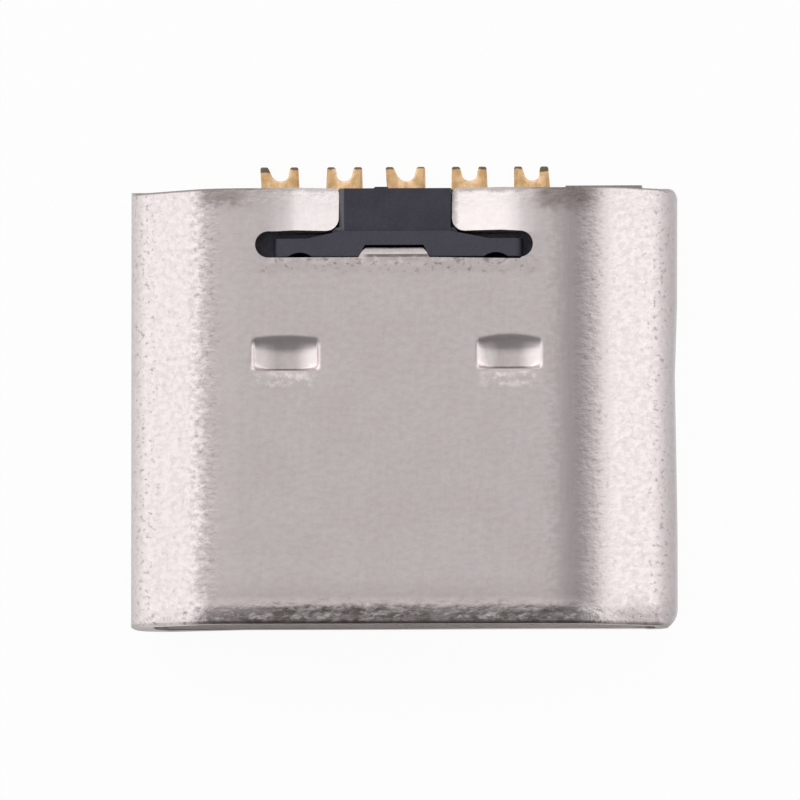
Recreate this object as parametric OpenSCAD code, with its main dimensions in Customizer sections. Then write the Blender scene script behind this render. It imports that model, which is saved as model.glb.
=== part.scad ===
// Five-contact micro charging socket that is soldered flat to a circuit board.
// X runs across the socket, +Y points to the rear with its solder tails, and Z = 0 is the board face.
// The plug goes in along +Y, through the front rim. All sizes are in millimetres.

/* [Folded sheet] */
// Outside width across the side walls
shell_w = 7.5; // [7.2:0.05:8]
// Outside height from the board face to the narrow face
shell_h = 2.45; // [2.35:0.05:2.8]
// Length of the narrow face from the front rim to its rear edge
shell_l = 5.95; // [5.6:0.05:6.6]
// Thickness of the sheet
sheet_t = 0.3; // [0.25:0.01:0.35]
// Width of the flat on the narrow face, between its two bends
narrow_flat_w = 4.3; // [4.1:0.05:4.6]
// Angle of the sloped walls from the board
slope_angle = 45; // [40:1:50]
// Outside radius of the bends at the narrow face
narrow_bend_r = 1; // [0.7:0.05:1.2]
// Outside radius of the bends between the sloped walls and the side walls
side_bend_r = 0.75; // [0.5:0.05:0.9]
// Outside radius of the bends at the board face
board_bend_r = 0.5; // [0.4:0.05:0.6]
// Reach of the side walls behind the narrow face
side_overhang = 0.07; // [0.02:0.01:0.15]
// Reach of the rear apron of the board face behind the narrow face, on the right only
apron_l = 0.2; // [0.16:0.01:0.3]

/* [Rear opening] */
// Width of the slot in the narrow face, end to end
slot_w = 3.8; // [3.6:0.02:4]
// Length of the slot, front to rear
slot_l = 0.36; // [0.3:0.01:0.45]
// Width of the strip behind the slot, which makes the two retention tabs
tab_w = 0.59; // [0.5:0.01:0.75]
// Gap between the ends of the retention tabs
tab_gap = 1.5; // [1.3:0.02:1.7]
// Length of each retention tab from its bend to its end
tab_l = 0.8; // [0.6:0.02:0.9]
// Angle at which the retention tabs bend into the housing
tab_angle = 8; // [5:1:12]
// Inside radius of the bend of the retention tabs
tab_bend_r = 0.3; // [0.2:0.05:0.5]
// Corner radius of the retention tabs beside the slot
tab_corner_r = 0.12; // [0.05:0.01:0.2]
// Width of the front tab at its tip
stop_tip_w = 0.76; // [0.6:0.02:0.9]
// Width of the front tab at the edge of the slot
stop_root_w = 1.02; // [0.92:0.02:1.2]
// Reach of the front tab into the slot
stop_reach = 0.18; // [0.14:0.01:0.22]
// Angle at which the front tab bends into the housing
stop_angle = 40; // [30:1:45]
// Inside radius of the bend of the front tab
stop_bend_r = 0.05; // [0.03:0.01:0.1]
// Distance that the bend of the front tab starts ahead of the slot
stop_setback = 0.07; // [0.05:0.01:0.1]

/* [Latch dimples] */
// Distance between the middles of the two pressed dimples
dimple_spacing = 3.06; // [2.8:0.02:3.2]
// Width of a dimple across the socket
dimple_w = 0.95; // [0.8:0.01:1.05]
// Length of a dimple, front to rear
dimple_l = 0.44; // [0.36:0.01:0.55]
// Depth to which a dimple is pressed in
dimple_depth = 0.13; // [0.08:0.01:0.16]
// Distance from the front rim to the middle of the dimples
dimple_from_rim = 3.68; // [3.4:0.02:3.8]
// Angle of a dimple's rear wall from the sheet
dimple_slope = 50; // [45:1:70]
// Margin by which the pressed sheet stands out round a dimple on the inside
dimple_shear = 0.04; // [0.02:0.01:0.08]

/* [Board face] */
// Width of the fold seam
seam_gap = 0.04; // [0.03:0.01:0.08]
// Width of the dovetail lock at its neck
lock_neck_w = 0.9; // [0.7:0.05:1.2]
// Width of the dovetail lock at its head
lock_head_w = 1.4; // [1.25:0.05:1.8]
// Length of the dovetail lock across the seam
lock_l = 0.9; // [0.6:0.05:1.2]
// Distance from the front rim to the middle of the dovetail lock
lock_from_rim = 2.2; // [1.8:0.05:2.8]
// Width of the rear notch that lets the solder tails out
tail_notch_w = 4.4; // [4.2:0.05:4.8]
// Length of that notch ahead of the narrow face's rear edge
tail_notch_l = 0.9; // [0.7:0.05:1.1]

/* [Insulator] */
// Depth of the cavity from the front rim to the block
cavity_l = 4.2; // [4.1:0.05:4.3]
// Width of the tongue
tongue_w = 3.6; // [3.5:0.05:3.9]
// Thickness of the tongue
tongue_t = 0.6; // [0.5:0.02:0.7]
// Gap between the sheet and the underside of the tongue
tongue_gap = 0.35; // [0.3:0.01:0.45]
// Distance from the front rim to the tip of the tongue
tongue_from_rim = 1.05; // [0.8:0.05:1.5]
// Chamfer above and below the tip of the tongue
tongue_chamfer = 0.14; // [0.08:0.01:0.2]
// Radius of the tongue's front corners, seen from above
tongue_corner_r = 0.3; // [0.2:0.02:0.45]
// Width of the rib that stands in the slot
rib_w = 3.4; // [3.2:0.02:3.46]
// Distance from the outside of the narrow face down to the top of the rib
rib_sink = 0.05; // [0.02:0.01:0.1]
// Distance from the outside of the narrow face down to the top of the key
key_sink = 0.09; // [0.04:0.01:0.15]
// Gap between the rib and the retention tabs at the rib's ends
rib_gap = 0.1; // [0.06:0.01:0.12]
// Radius of the two core holes under the front edge of the slot
core_r = 0.27; // [0.2:0.01:0.32]
// Distance between the middles of the core holes
core_spacing = 2.68; // [2.5:0.02:2.9]
// Reach of the core holes into the slot
core_reach = 0.09; // [0.05:0.01:0.12]
// Depth of the core holes below the inside of the sheet
core_depth = 0.5; // [0.3:0.05:0.6]
// Height of the moulding above the board in the tail notch
standoff = 0.05; // [0.03:0.01:0.1]

/* [Contacts] */
// Pitch of the contact blades on the tongue
blade_pitch = 0.65; // [0.62:0.01:0.68]
// Width of a contact blade
blade_w = 0.4; // [0.3:0.01:0.42]
// Distance from the tip of the tongue to the tip of the blades
blade_setback = 0.3; // [0.2:0.02:0.5]
// Thickness of the contact strip
strip_t = 0.15; // [0.1:0.01:0.18]
// Inside radius of the bends in the contacts
strip_bend_r = 0.1; // [0.06:0.01:0.14]
// Pitch of the solder tails
tail_pitch = 0.87; // [0.82:0.01:0.9]
// Width of a solder tail
tail_w = 0.52; // [0.46:0.01:0.54]
// Reach of the solder tails behind the narrow face
tail_reach = 0.46; // [0.42:0.01:0.6]
// Straight run of a contact at each end of its sideways step
strip_step = 0.1; // [0.05:0.01:0.15]
// Distance of the upright part of a contact from the rear of the block
upright_inset = 0.22; // [0.18:0.01:0.26]
// Width of the fork at the end of a tail
fork_w = 0.235; // [0.2:0.005:0.26]
// Depth of the fork
fork_l = 0.19; // [0.15:0.01:0.22]

/* [Fits] */
// Clearance between the insulator and the folded sheet
sheet_fit = 0.02; // [0.01:0.005:0.03]
// Clearance between the insulator and the contacts
strip_fit = 0.01; // [0.005:0.005:0.02]
// Clearance beside the rib and the key in the rear opening
opening_fit = 0.03; // [0.02:0.005:0.05]

/* [Hidden] */
$fn = 48;
past = 1;
contact_count = 5;
front_y = -shell_l / 2;
rear_y = shell_l / 2;
inner_h = shell_h - sheet_t;
slot_rear_y = rear_y - tab_w;
slot_front_y = slot_rear_y - slot_l;
tab_bend_x = tab_gap / 2 + tab_l;
stop_y = slot_front_y + stop_reach;
stop_root_y = slot_front_y - stop_setback;
stop_drop = (stop_y - stop_root_y) * tan(stop_angle);
notch_y = rear_y - tail_notch_l;
block_y = front_y + cavity_l;
tongue_z = sheet_t + tongue_gap;
tongue_top = tongue_z + tongue_t;
tongue_y = front_y + tongue_from_rim;
key_half_w = tab_gap / 2 - opening_fit;
upright_y = rear_y - upright_inset;
strip_outer_r = strip_bend_r + strip_t;

// Bends of the right half of the section, from the board up: [x, z, outside radius, first angle, last angle]
slope_normal = 90 - slope_angle;
narrow_bend_x = narrow_flat_w / 2;
narrow_bend_z = shell_h - narrow_bend_r;
side_bend_x = shell_w / 2 - side_bend_r;
slope_run = (side_bend_x - narrow_bend_x) * cos(slope_normal);
side_bend_z = narrow_bend_z + (narrow_bend_r - side_bend_r - slope_run) / sin(slope_normal);
slope_top_z = narrow_bend_z + narrow_bend_r * sin(slope_normal);
bends = [
    [shell_w / 2 - board_bend_r, board_bend_r, board_bend_r, -90, 0],
    [side_bend_x, side_bend_z, side_bend_r, 0, slope_normal],
    [narrow_bend_x, narrow_bend_z, narrow_bend_r, slope_normal, 90]
];

// Extrudes an outline drawn in X and Z from y0 to y1
module along_y(y0, y1) {
    translate([0, y1, 0]) rotate([90, 0, 0]) linear_extrude(y1 - y0) children();
}

// Extrudes an outline drawn in Y and Z from x0 to x1
module along_x(x0, x1) {
    translate([x0, 0, 0]) rotate([90, 0, 90]) linear_extrude(x1 - x0) children();
}

// Extrudes an outline drawn in X and Y from z0 to z1
module along_z(z0, z1) {
    translate([0, 0, z0]) linear_extrude(z1 - z0) children();
}

// Draws what follows on the right and again, mirrored, on the left
module both_sides() {
    children();
    mirror([1, 0, 0]) children();
}

// Point at an angle on a bend of the section, moved inwards by inset
function bend_point(bend, angle, inset) =
    [bend[0] + (bend[2] - inset) * cos(angle), bend[1] + (bend[2] - inset) * sin(angle)];

// Filled section of the folded sheet, moved inwards by inset
module section(inset = 0) {
    right = [for (bend = bends, i = [3, 4]) bend_point(bend, bend[i], inset)];
    left = [for (i = [len(right) - 1 : -1 : 0]) [-right[i][0], right[i][1]]];
    polygon(concat(right, left));
    both_sides() for (bend = bends) translate([bend[0], bend[1]]) circle(bend[2] - inset);
}

// Section of a strip that leaves the origin along +X, bends down by angle and runs straight on
module bent_strip(thick, inner_r, angle, straight) {
    reach = (inner_r + thick) * 2;
    translate([0, -inner_r]) {
        intersection() {
            difference() {
                circle(inner_r + thick);
                circle(inner_r);
            }
            polygon([[0, 0], [0, reach], [reach * tan(angle), reach]]);
        }
        rotate(-angle) translate([0, inner_r]) square([straight, thick]);
    }
}

// Slot with round ends in the narrow face
module slot_outline() {
    straight = slot_w - slot_l;
    translate([-straight / 2, slot_front_y]) square([straight, slot_l]);
    both_sides() translate([straight / 2, slot_front_y + slot_l / 2]) circle(slot_l / 2);
}

// Plan of the right retention tab, round at its corner beside the slot
module tab_outline(grow) {
    end_x = tab_gap / 2 - grow;
    edge_y = slot_rear_y - grow;
    polygon([
        [end_x + tab_corner_r, edge_y],
        [tab_bend_x, edge_y],
        [tab_bend_x, rear_y + grow],
        [end_x, rear_y + grow],
        [end_x, edge_y + tab_corner_r]
    ]);
    translate([end_x + tab_corner_r, edge_y + tab_corner_r]) circle(tab_corner_r);
}

// Right retention tab, or the recess that takes it where grow is set
module retention_tab(grow = 0) {
    intersection() {
        along_y(slot_rear_y - past, rear_y + past)
            translate([tab_bend_x, inner_h - grow]) mirror([1, 0])
                bent_strip(sheet_t + grow * 2, tab_bend_r - grow, tab_angle, tab_l + past);
        along_z(0, shell_h + past) tab_outline(grow);
    }
}

// Plan of the front tab, tapered from the edge of the slot to its tip
module stop_outline(grow = 0) {
    right = [
        [stop_root_w / 2 + grow, stop_root_y],
        [stop_root_w / 2 + grow, slot_front_y],
        [stop_tip_w / 2 + grow, stop_y + grow]
    ];
    left = [for (i = [2 : -1 : 0]) [-right[i][0], right[i][1]]];
    polygon(concat(right, left));
}

// Front tab, bent down into the slot
module stop_tab() {
    intersection() {
        along_x(-stop_root_w, stop_root_w) translate([stop_root_y, inner_h])
            bent_strip(sheet_t, stop_bend_r, stop_angle, slot_l + sheet_t);
        along_z(0, shell_h + past) stop_outline();
    }
}

// Right latch dimple down to its round floor, or the inner side of the pressed sheet where thick is set
module dimple(thick, margin, top_z) {
    arc_r = (pow(dimple_w / 2, 2) + pow(dimple_depth, 2)) / (2 * dimple_depth);
    middle_y = front_y + dimple_from_rim;
    near_y = middle_y - dimple_l / 2 - margin;
    far_y = middle_y + dimple_l / 2 + margin;
    lean = 1 / tan(dimple_slope);
    intersection() {
        translate([dimple_spacing / 2, 0, shell_h + arc_r - dimple_depth])
            along_y(near_y - past, far_y + past) circle(arc_r + thick);
        along_x(0, shell_w / 2) polygon([
            [near_y, inner_h - sheet_t],
            [near_y, top_z],
            [far_y + (top_z - shell_h) * lean, top_z],
            [far_y - (dimple_depth + thick) * lean, shell_h - dimple_depth - thick],
            [far_y - (dimple_depth + thick) * lean, inner_h - sheet_t]
        ]);
    }
}

// Straight cut from one point to the next
module cut_line(from, to, width) {
    run = to - from;
    translate(from) rotate(atan2(run[1], run[0]))
        translate([-width / 2, -width / 2]) square([norm(run) + width, width]);
}

// Fold seam along the board face, with its dovetail lock
module seam_outline() {
    lock_y = front_y + lock_from_rim;
    path = [
        [0, front_y - past],
        [0, lock_y - lock_neck_w / 2],
        [lock_l, lock_y - lock_head_w / 2],
        [lock_l, lock_y + lock_head_w / 2],
        [0, lock_y + lock_neck_w / 2],
        [0, notch_y + seam_gap]
    ];
    for (i = [0 : len(path) - 2]) cut_line(path[i], path[i + 1], seam_gap);
}

// Rear edge of the narrow face and the sloped walls, seen from the side, as the part that is cut away
module rear_trim_outline() {
    polygon([
        [rear_y, shell_h + past],
        [rear_y, slope_top_z],
        [rear_y + side_overhang, side_bend_z],
        [rear_y + past, side_bend_z],
        [rear_y + past, shell_h + past]
    ]);
}

// Rear apron of the board face, to the right of the tail notch
module apron() {
    along_z(0, sheet_t) translate([tail_notch_w / 2, notch_y])
        square([shell_w / 2 - board_bend_r - tail_notch_w / 2, rear_y + apron_l - notch_y]);
}

module shell() {
    color([0.73, 0.69, 0.69]) {
        difference() {
            union() {
                difference() {
                    along_y(front_y, rear_y + side_overhang) section();
                    along_y(front_y - past, rear_y + past) section(sheet_t);
                    along_x(-shell_w, shell_w) rear_trim_outline();
                    along_z(inner_h - sheet_t, shell_h + past) slot_outline();
                    along_z(inner_h - sheet_t, shell_h + past)
                        translate([-tab_bend_x, slot_rear_y - slot_l / 2])
                            square([tab_bend_x * 2, tab_w + slot_l / 2 + past]);
                    along_z(-past, sheet_t + past) translate([-tail_notch_w / 2, notch_y])
                        square([tail_notch_w, tail_notch_l + past]);
                    along_z(-past, sheet_t + past) seam_outline();
                }
                both_sides() dimple(sheet_t, dimple_shear, shell_h - sheet_t / 2);
                apron();
            }
            both_sides() dimple(0, 0, shell_h + past);
        }
        both_sides() retention_tab();
        stop_tab();
    }
}

// Rib that stands in the slot, with its rear edge drawn in beside the retention tabs
module rib_outline() {
    right = [
        [rib_w / 2, slot_front_y + opening_fit],
        [rib_w / 2, slot_rear_y - rib_gap],
        [key_half_w, slot_rear_y - opening_fit]
    ];
    left = [for (i = [2 : -1 : 0]) [-right[i][0], right[i][1]]];
    polygon(concat(right, left));
}

// Plan of the tongue, round at its front corners
module tongue_outline() {
    corner_x = tongue_w / 2 - tongue_corner_r;
    corner_y = tongue_y + tongue_corner_r;
    polygon([
        [-corner_x, tongue_y],
        [corner_x, tongue_y],
        [tongue_w / 2, corner_y],
        [tongue_w / 2, block_y + sheet_fit],
        [-tongue_w / 2, block_y + sheet_fit],
        [-tongue_w / 2, corner_y]
    ]);
    both_sides() translate([corner_x, corner_y]) circle(tongue_corner_r);
}

// Tongue seen from the side, chamfered above and below its tip
module tongue_side() {
    polygon([
        [tongue_y, tongue_z + tongue_chamfer],
        [tongue_y + tongue_chamfer, tongue_z],
        [block_y + past, tongue_z],
        [block_y + past, tongue_top],
        [tongue_y + tongue_chamfer, tongue_top],
        [tongue_y, tongue_top - tongue_chamfer]
    ]);
}

// Quarter of a bend in a contact strip, in the quadrant that side_y and side_z give
module strip_bend(side_y, side_z, grow) {
    size = strip_outer_r + past;
    intersection() {
        difference() {
            circle(strip_outer_r + grow);
            circle(strip_bend_r - grow);
        }
        translate([min(side_y, 0) * size, min(side_z, 0) * size]) square(size);
    }
}

// A contact seen from the side: blade, upper bend, upright, lower bend and tail
module strip_side(grow = 0) {
    thick = strip_t + grow * 2;
    upper_y = upright_y - strip_outer_r;
    upper_z = tongue_top - strip_outer_r;
    lower_y = upright_y + strip_bend_r;
    translate([tongue_y + blade_setback - grow, tongue_top - strip_t - grow])
        square([upper_y - tongue_y - blade_setback + grow, thick]);
    translate([upper_y, upper_z]) strip_bend(1, 1, grow);
    translate([upright_y - strip_t - grow, strip_outer_r]) square([thick, upper_z - strip_outer_r]);
    translate([lower_y, strip_outer_r]) strip_bend(-1, -1, grow);
    translate([lower_y, -grow]) square([rear_y + tail_reach - lower_y, thick]);
}

// A contact seen from above: it steps sideways inside the block, from the blade pitch to the tail pitch
module strip_plan(place, grow = 0) {
    blade_x = place * blade_pitch;
    tail_x = place * tail_pitch;
    blade_half = blade_w / 2 + grow;
    tail_half = tail_w / 2 + grow;
    step_y = block_y + strip_step;
    bend_y = upright_y - strip_outer_r - strip_step;
    polygon([
        [blade_x - blade_half, tongue_y + blade_setback - grow],
        [blade_x + blade_half, tongue_y + blade_setback - grow],
        [blade_x + blade_half, step_y],
        [tail_x + tail_half, bend_y],
        [tail_x + tail_half, rear_y + tail_reach],
        [tail_x - tail_half, rear_y + tail_reach],
        [tail_x - tail_half, bend_y],
        [blade_x - blade_half, step_y]
    ]);
}

// Round-bottomed fork at the end of a solder tail
module fork_outline(place) {
    end_y = rear_y + tail_reach;
    translate([place * tail_pitch, end_y - fork_l + fork_w / 2]) {
        circle(fork_w / 2);
        translate([-fork_w / 2, 0]) square([fork_w, fork_l + past]);
    }
}

// Space that a contact needs in the moulding, open to the rear behind its upright part
module strip_channel(place) {
    intersection() {
        along_x(-shell_w, shell_w) strip_side(strip_fit);
        along_z(-past, shell_h) strip_plan(place, strip_fit);
    }
    along_z(-past, tongue_top + strip_fit)
        translate([place * tail_pitch - tail_w / 2 - strip_fit, upright_y - strip_t - strip_fit])
            square([tail_w + strip_fit * 2, upright_inset + strip_t + past]);
}

module insulator() {
    foot_y = notch_y + opening_fit;
    color([0.24, 0.23, 0.28]) difference() {
        union() {
            along_y(block_y, rear_y) section(sheet_t + sheet_fit);
            along_z(tongue_top, shell_h - rib_sink) rib_outline();
            along_z(tongue_top, shell_h - key_sink)
                translate([-key_half_w, slot_rear_y - opening_fit * 2])
                    square([key_half_w * 2, tab_w + opening_fit * 2]);
            along_z(standoff, tongue_z) translate([-tail_notch_w / 2 + opening_fit, foot_y])
                square([tail_notch_w - opening_fit * 2, rear_y - foot_y]);
            intersection() {
                along_x(-tongue_w, tongue_w) tongue_side();
                along_z(0, shell_h) tongue_outline();
            }
        }
        both_sides() retention_tab(sheet_fit);
        along_z(inner_h - stop_drop - sheet_fit, shell_h + past) stop_outline(opening_fit);
        both_sides() along_z(inner_h - core_depth, shell_h + past)
            translate([core_spacing / 2, slot_front_y + core_reach - core_r]) circle(core_r);
        for (i = [1 : contact_count]) strip_channel(i - (contact_count + 1) / 2);
    }
}

module contact(number) {
    place = number - (contact_count + 1) / 2;
    color([0.82, 0.68, 0.45]) intersection() {
        along_x(-shell_w, shell_w) strip_side();
        along_z(-past, shell_h) difference() {
            strip_plan(place);
            fork_outline(place);
        }
    }
}

shell();
insulator();
contact(1);  // contact_1
contact(2);  // contact_2
contact(3);  // contact_3
contact(4);  // contact_4
contact(5);  // contact_5
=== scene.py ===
# %% [markdown]
# # A five-contact charging socket
# The real socket is three kinds of part: a sheet of nickel-plated steel that is punched and folded into a
# shell, a black plastic moulding inside it, and five gold-plated strips that run through the moulding.
# The exact solids of all seven pieces are loaded first. They fix the place of everything below.

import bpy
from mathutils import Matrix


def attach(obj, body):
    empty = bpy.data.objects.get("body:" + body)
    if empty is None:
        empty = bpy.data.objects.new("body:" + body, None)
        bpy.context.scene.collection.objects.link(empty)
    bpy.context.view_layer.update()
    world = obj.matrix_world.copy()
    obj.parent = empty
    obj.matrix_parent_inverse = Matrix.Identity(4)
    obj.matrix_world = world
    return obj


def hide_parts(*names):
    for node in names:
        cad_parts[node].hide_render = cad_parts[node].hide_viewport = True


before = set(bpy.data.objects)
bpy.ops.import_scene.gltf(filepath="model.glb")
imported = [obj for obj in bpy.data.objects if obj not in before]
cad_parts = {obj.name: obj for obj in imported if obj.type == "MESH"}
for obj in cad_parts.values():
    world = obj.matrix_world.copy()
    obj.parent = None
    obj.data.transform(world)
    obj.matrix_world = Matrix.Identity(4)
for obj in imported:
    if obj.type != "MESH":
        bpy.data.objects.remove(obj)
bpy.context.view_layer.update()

import math
import bmesh
import bpy

print("solids:", sorted(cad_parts))

# %% [markdown]
# ## Working at a thousand times the size
# The socket is only 7.5 mm wide. Blender's tools have thresholds that suit larger things, so each piece is
# modelled with one unit to the millimetre and shrunk to its real size when it is done. A few helpers pick
# vertices, edges and faces by their place, because the operators act on whatever is selected.

# %% Helpers for picking and cutting
def leave_edit_mode():
    if bpy.context.object is not None and bpy.context.object.mode != "OBJECT":
        bpy.ops.object.mode_set(mode="OBJECT")
    bpy.ops.object.select_all(action="DESELECT")


def select_only(piece):
    leave_edit_mode()
    piece.select_set(True)
    bpy.context.view_layer.objects.active = piece


def edit_only(piece):
    select_only(piece)
    bpy.ops.object.mode_set(mode="EDIT")


def mesh_of(piece):
    return bmesh.from_edit_mesh(piece.data)


def pick_all():
    bpy.ops.mesh.select_all(action="SELECT")


def near(value, target):
    return abs(value - target) < 1e-4


def pick(piece, kind, test):
    """Selects the vertices, edges or faces whose corners all pass the test."""
    bpy.ops.mesh.select_mode(type=kind)
    bpy.ops.mesh.select_all(action="DESELECT")
    mesh = mesh_of(piece)
    count = 0
    for item in {"VERT": mesh.verts, "EDGE": mesh.edges, "FACE": mesh.faces}[kind]:
        corners = [item.co] if kind == "VERT" else [vert.co for vert in item.verts]
        if all(test(corner) for corner in corners):
            item.select_set(True)
            count += 1
    mesh.select_flush_mode()
    bmesh.update_edit_mesh(piece.data)
    return count


def cut(piece, axis, places, test=lambda corner: True):
    """Cuts the faces that pass the test along planes across an axis."""
    normal = [float(axis == name) for name in "XYZ"]
    for place in places:
        pick(piece, "FACE", test)
        bpy.ops.mesh.bisect(plane_co=[place * part for part in normal], plane_no=normal, threshold=1e-5)


def punch(piece, test):
    """Cuts the faces that pass the test out of the sheet."""
    pick(piece, "FACE", test)
    bpy.ops.mesh.delete(type="FACE")


def move(way):
    bpy.ops.transform.translate(value=way)


def resize(shares, centre):
    bpy.ops.transform.resize(value=shares, center_override=centre)


def bevel(offset, segments):
    bpy.ops.mesh.bevel(offset=offset, segments=segments, affect="EDGES", clamp_overlap=False)


def grow(way):
    """Extrudes the selection and moves it."""
    bpy.ops.mesh.extrude_region_move(TRANSFORM_OT_translate={"value": way})


def sweep(centre, axis, degrees, steps):
    """Spins the selection about a line, which leaves a bent strip behind it."""
    bpy.ops.mesh.spin(steps=steps, angle=math.radians(-degrees), center=centre, axis=axis)


def new_plane(name, x_range, y_range, z):
    leave_edit_mode()
    middle = (sum(x_range) / 2, sum(y_range) / 2, z)
    bpy.ops.mesh.primitive_plane_add(size=1, location=middle)
    piece = bpy.context.object
    piece.name = name
    piece.scale = (x_range[1] - x_range[0], y_range[1] - y_range[0], 1)
    bpy.ops.object.transform_apply(location=True, rotation=False, scale=True)
    edit_only(piece)
    return piece


def new_block(name, x_range, y_range, z_range):
    leave_edit_mode()
    ranges = (x_range, y_range, z_range)
    bpy.ops.mesh.primitive_cube_add(size=1, location=[sum(pair) / 2 for pair in ranges])
    piece = bpy.context.object
    piece.name = name
    piece.scale = [pair[1] - pair[0] for pair in ranges]
    bpy.ops.object.transform_apply(location=True, rotation=False, scale=True)
    return piece


def apply_modifier(piece, kind, **values):
    select_only(piece)
    modifier = piece.modifiers.new(kind.lower(), kind)
    for name, value in values.items():
        setattr(modifier, name, value)
    bpy.ops.object.modifier_apply(modifier=modifier.name)


# %% [markdown]
# ## The shell, first as a flat face
# The shell starts as its narrow face, seen from above. Only the right half is drawn, because a mirror
# makes the left half later. The T-shaped opening is cut the way a punch does it: lines across the sheet,
# the waste deleted, then the corners rounded with a vertex bevel.

# %% Narrow face with its slot and the gap between the tabs
SHEET = 0.3
TOP, FRONT, REAR, FLAT_HALF = 2.45, -2.975, 2.975, 2.15
SLOT_FRONT, SLOT_REAR, SLOT_END = 2.025, 2.385, 1.9
TAB_END, TAB_HINGE = 0.75, 1.55
STOP_HALF = 0.44
SLOT_ROUND, TAB_ROUND, TAB_TIP_ROUND = 0.1799, 0.18, 0.07

shell = new_plane("folded_shell", (0, FLAT_HALF), (FRONT, REAR), TOP)
cut(shell, "Y", (SLOT_FRONT, SLOT_REAR))
cut(shell, "X", (TAB_END, SLOT_END))
punch(shell, lambda c: c.x < SLOT_END + 1e-4 and SLOT_FRONT - 1e-4 < c.y < SLOT_REAR + 1e-4)
punch(shell, lambda c: c.x < TAB_END + 1e-4 and c.y > SLOT_REAR - 1e-4)
pick(shell, "FACE", lambda c: True)
bpy.ops.mesh.dissolve_limited(angle_limit=0.01)


def round_corners(piece, test, radius, segments):
    count = pick(piece, "VERT", test)
    bpy.ops.mesh.bevel(offset=radius, segments=segments, affect="VERTICES", clamp_overlap=False)
    return count


rounded = round_corners(shell, lambda c: near(c.x, SLOT_END), SLOT_ROUND, 9)
rounded += round_corners(shell, lambda c: near(c.x, TAB_END) and near(c.y, SLOT_REAR), TAB_ROUND, 8)
rounded += round_corners(shell, lambda c: near(c.x, TAB_END) and near(c.y, REAR), TAB_TIP_ROUND, 6)
print("corners rounded:", rounded)

# %% [markdown]
# ## Folding the sheet down
# In the factory the flat blank is folded over a mandrel. Here the right edge of the face is spun round the
# middle of each bend and pushed straight on between bends, so that each bend has the real radius.

# %% Fold the right side down and under
BENDS = (((FLAT_HALF, 0, 1.45), 45, 14), ((3.0, 0, 0.95355), 45, 12), ((3.25, 0, 0.5), 90, 14))
RUNS = ((0.67322, 0, -0.67334), (0, 0, -0.45355), (-3.2485, 0, 0))

pick(shell, "EDGE", lambda c: near(c.x, FLAT_HALF))
for (centre, degrees, steps), run in zip(BENDS, RUNS):
    sweep(centre, (0, 1, 0), degrees, steps)
    grow(run)
box = mesh_of(shell)
print("half shell:", len(box.faces), "faces, reaching x =", round(max(v.co.x for v in box.verts), 3))

# %% [markdown]
# ## Rear edge and tail notch
# The side walls reach a little further back than the narrow face, and the board face has a notch that lets
# the solder tails out. Rear vertices are moved row by row, further the nearer they are to the side wall.

# %% Step the rear edge and cut the notch
SIDE_OVERHANG, NOTCH_X, NOTCH_Y = 0.07, 2.2, 2.075
SIDE_BEND_TOP, SIDE_BEND_FOOT = 1.4839, 0.9535
rows = sorted({(round(v.co.x, 4), round(v.co.z, 4)) for v in box.verts
               if near(v.co.y, REAR) and v.co.z < 1.48})
for x, z in rows:
    pick(shell, "VERT", lambda c: near(c.y, REAR) and abs(c.x - x) < 1e-3 and abs(c.z - z) < 1e-3)
    share = min(1, (SIDE_BEND_TOP - z) / (SIDE_BEND_TOP - SIDE_BEND_FOOT))
    move((0, SIDE_OVERHANG * share, 0))

on_board = lambda c: c.z < 1e-4
cut(shell, "X", (NOTCH_X,), on_board)
cut(shell, "Y", (NOTCH_Y,), on_board)
punch(shell, lambda c: on_board(c) and c.x < NOTCH_X + 1e-4 and c.y > NOTCH_Y - 1e-4)
print("rear rows moved:", len(rows))

# %% [markdown]
# ## Lines for the tabs and the dimples
# A bend needs edges to bend along. The small front tab is extruded from the edge of the slot, and lines are
# cut where the tabs will fold and where the latch dimple will be pressed, but not elsewhere: flat sheet
# needs no extra faces.

# %% Front tab and bending lines
on_top = lambda c: near(c.z, TOP)
in_front = lambda c: on_top(c) and c.y < SLOT_FRONT + 1e-4
BEND_Y, BEND_X, STOP_SIDE = 1.86, 1.72, 0.487
STOP_LINES = (1.97, 2.0, 2.03, 2.045)
cut(shell, "Y", (BEND_Y,), on_top)
cut(shell, "X", (BEND_X,), lambda c: on_top(c) and c.y > BEND_Y - 1e-4)
by_stop = lambda c: in_front(c) and c.y > BEND_Y - 1e-4 and c.x < BEND_X + 1e-4
cut(shell, "X", (0.2, 0.34, 0.4, STOP_HALF, STOP_SIDE), by_stop)
cut(shell, "Y", STOP_LINES[:2], lambda c: by_stop(c) and c.x < STOP_SIDE + 1e-4)
# The front tab is drawn out row by row: where each row lies, and how much narrower it is
STOP_ROWS = ((2.03, 0.985), (2.045, 0.965), (2.06, 0.94), (2.075, 0.91), (2.09, 0.875))
pick(shell, "EDGE", lambda c: on_top(c) and near(c.y, SLOT_FRONT) and c.x < STOP_HALF + 1e-4)
last_y, last_width = SLOT_FRONT, 1
for y, width in STOP_ROWS:
    grow((0, y - last_y, 0))
    resize((width / last_width, 1, 1), (0, y, TOP))
    last_y, last_width = y, width

TAB_LINES = (1.66, 1.58, 1.5, 1.42)
cut(shell, "X", TAB_LINES, lambda c: on_top(c) and c.y > SLOT_REAR - 1e-3)

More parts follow.
